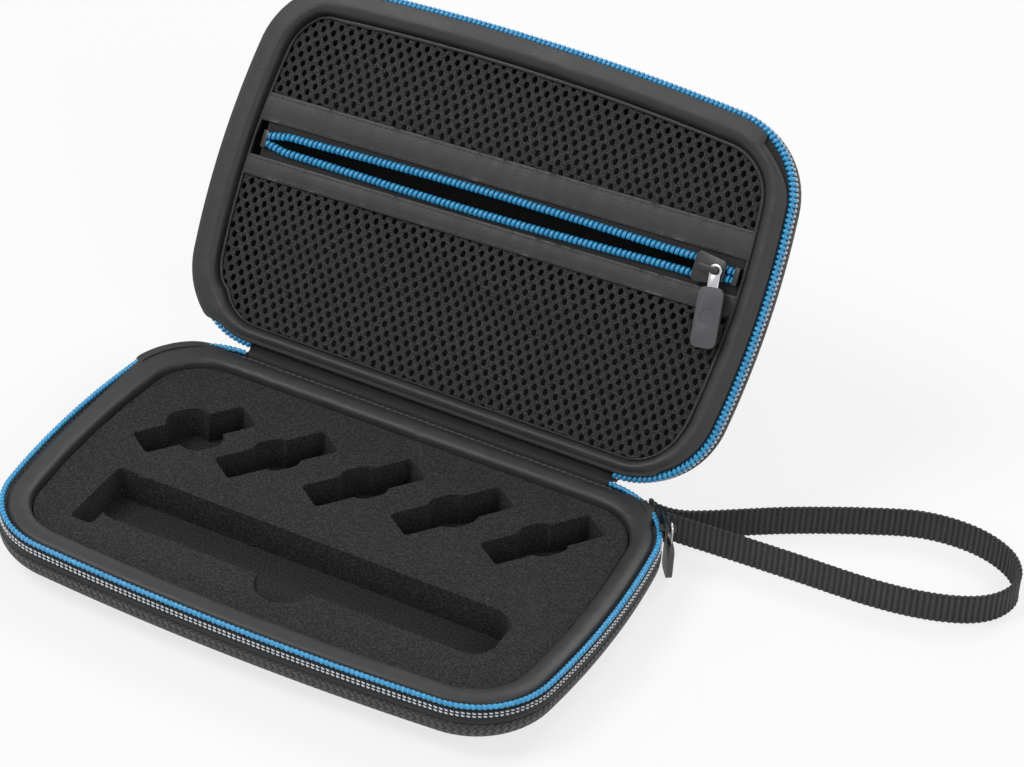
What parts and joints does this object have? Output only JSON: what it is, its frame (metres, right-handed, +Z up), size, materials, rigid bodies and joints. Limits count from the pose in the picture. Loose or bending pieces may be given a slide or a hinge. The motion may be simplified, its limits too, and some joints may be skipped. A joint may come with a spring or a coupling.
{
  "type": "zipped hard case",
  "caption": "Open clamshell hard case with a cut foam insert for a shaver, a zipped mesh pocket in the hinged lid, padded rims, blue zip coils and a wrist strap.",
  "frame": {"origin": "centre of the base half's flat underside", "axes": "+X along the case's length, -Y towards the front where the case opens, +Y towards the back fold, +Z up"},
  "size_m": [0.3333, 0.2374, 0.1392],
  "materials": {
    "shell": "coarse ballistic weave over moulded foam board",
    "lining": "fine knit, matte",
    "rim": "smooth padded polyurethane leather, soft sheen",
    "foam": "closed-cell foam, fine grain, matte",
    "tape": "woven zip tape",
    "coil": "bright sky-blue nylon coil, satin",
    "thread": "white polyester thread",
    "gusset": "woven, matte",
    "welt": "stitched edging",
    "net": "knitted spacer mesh with oval openings",
    "strip": "smooth polyurethane leather with stitch lines",
    "black_metal": "black enamel, semi-gloss",
    "nickel": "plated wire, polished",
    "rubber_pull": "soft moulded rubber, matte",
    "webbing": "ribbed narrow webbing, matte"
  },
  "bodies": {
    "base": {"base_shell": "shell", "base_lining": "lining", "base_rim": "rim", "foam_insert": "foam", "foam_pad": "foam", "base_tape": "tape", "base_coil": "coil", "base_stitches": "thread", "hinge_gusset": "gusset", "main_end_stop": "black_metal", "strap_anchor": "webbing", "wrist_strap": "webbing"},
    "lid": {"lid_shell": "shell", "lid_lining": "lining", "lid_rim": "rim", "lid_welt": "welt", "lid_tape": "tape", "lid_coil": "coil", "lid_stitches": "thread", "pocket_net_upper": "net", "pocket_net_lower": "net", "pocket_strip_upper": "strip", "pocket_strip_lower": "strip", "pocket_tape_upper": "tape", "pocket_tape_lower": "tape", "pocket_coil_upper": "coil", "pocket_coil_lower": "coil", "pocket_end_stops": "black_metal"},
    "pocket_slider": {"pocket_slider": "black_metal"},
    "pocket_pull": {"pocket_link": "nickel", "pocket_tab": "rubber_pull"},
    "main_slider": {"main_slider": "black_metal"},
    "main_pull": {"main_link": "nickel", "main_tab": "rubber_pull"}
  },
  "joints": [
    {"name": "lid_hinge", "type": "hinge", "parent": "base", "child": "lid", "pos_m": [0, 0.0713, 0.0232], "axis": [-1, 0, 0], "range_deg": [-125.5, 0], "deforming": ["hinge_gusset"]},
    {"name": "pocket_slider_slide", "type": "slide", "parent": "lid", "child": "pocket_slider", "axis": [0.9994, 0.0203, 0.0284], "range_m": [-0.158, 0]},
    {"name": "pocket_pull_swivel", "type": "hinge", "parent": "pocket_slider", "child": "pocket_pull", "pos_m": [0.08915, 0.12073, 0.08905], "axis": [0, 0.8141, -0.5807], "range_deg": [-4, 38]},
    {"name": "main_slider_track", "type": "hinge", "parent": "base", "child": "main_slider", "pos_m": [0.07658, 0.039, 0.0212], "axis": [0, 0, 1], "range_deg": [-18, 0]},
    {"name": "main_pull_swivel", "type": "hinge", "parent": "main_slider", "child": "main_pull", "pos_m": [0.10577, 0.0565, 0.0218], "axis": [0.809, 0.5878, 0], "range_deg": [-35, 35]}
  ]
}
